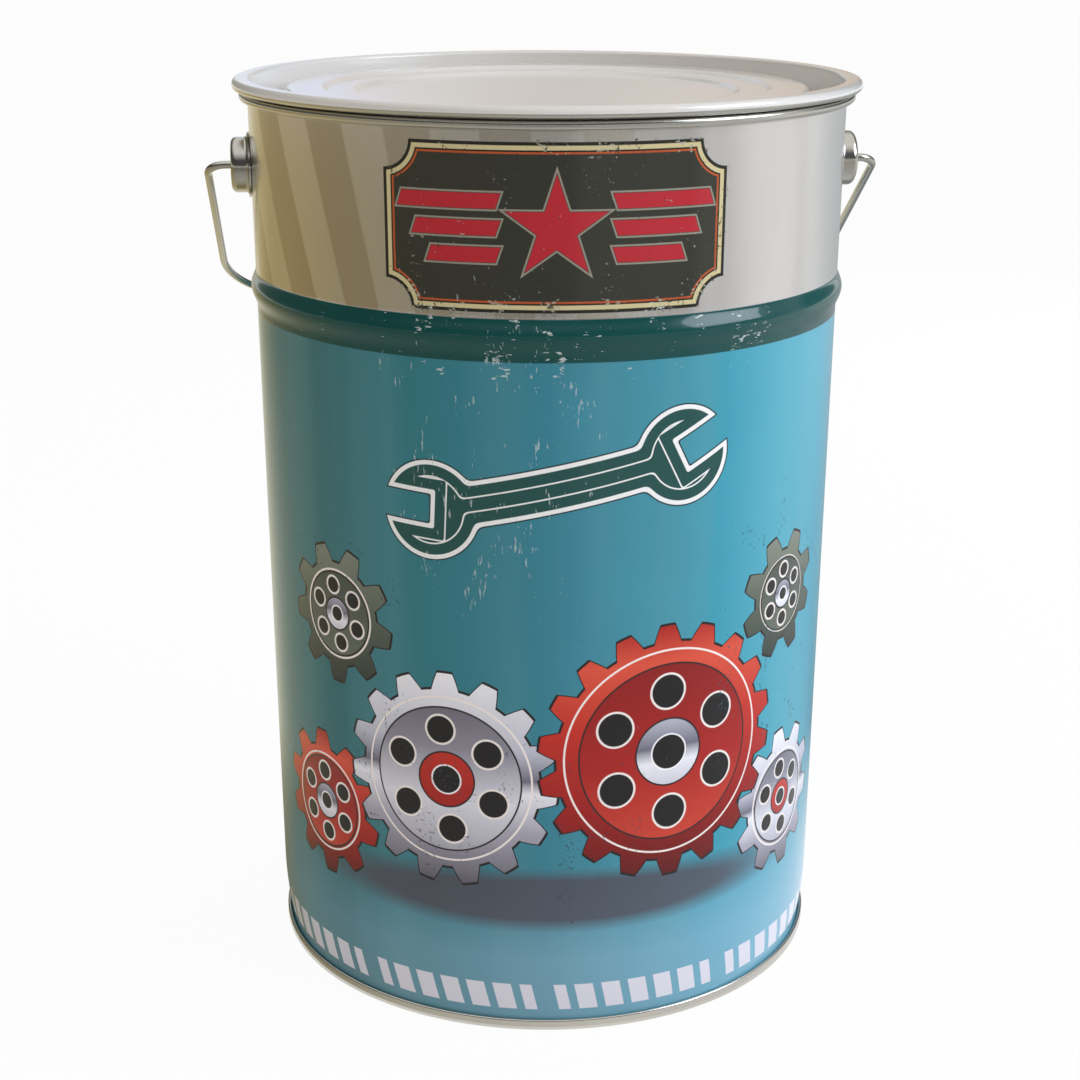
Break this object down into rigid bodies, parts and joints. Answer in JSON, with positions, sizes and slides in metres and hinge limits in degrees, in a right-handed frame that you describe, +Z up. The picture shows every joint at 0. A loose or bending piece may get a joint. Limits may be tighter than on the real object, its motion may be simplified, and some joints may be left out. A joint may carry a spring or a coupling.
{
  "type": "tinplate drum pail",
  "caption": "Slightly conical tinplate drum pail with a press-in lid, a double-seamed base and a wire bail hung in drawn ears.",
  "frame": {"origin": "on the floor under the middle of the round base, on the pail's axis; the bail that hangs behind puts the box's middle 2.6 mm behind it", "axes": "+Z up along the pail's axis, X through both ears and the bail's pivot, -Y towards the printed front, +Y towards the side where the bail hangs"},
  "size_m": [0.3466, 0.3205, 0.4595],
  "materials": {
    "printed_tinplate": "gloss print with bare metal worn through",
    "bare_tinplate": "bright",
    "white_enamel": "gloss",
    "zinc_plated_steel": "satin",
    "sealing_compound": "matt",
    "moulded_plastic": "satin"
  },
  "bodies": {
    "pail": {"body_shell": "printed_tinplate", "base_end": "bare_tinplate", "base_compound": "sealing_compound", "ear_right": "zinc_plated_steel", "ear_left": "zinc_plated_steel"},
    "lid": {"lid": "white_enamel", "lid_gasket": "sealing_compound"},
    "bail": {"bail_wire": "zinc_plated_steel"},
    "grip": {"bail_grip": "moulded_plastic"}
  },
  "joints": [
    {"name": "lid_lift", "type": "slide", "parent": "pail", "child": "lid", "axis": [0, 0, 1], "range_m": [0, 0.15]},
    {"name": "bail_swing", "type": "hinge", "parent": "pail", "child": "bail", "pos_m": [0, 0, 0.4161], "axis": [1, 0, 0], "range_deg": [0, 251.8]},
    {"name": "grip_roll", "type": "hinge", "parent": "bail", "child": "grip", "pos_m": [0, 0.15587, 0.30327], "axis": [1, 0, 0], "continuous": true}
  ]
}
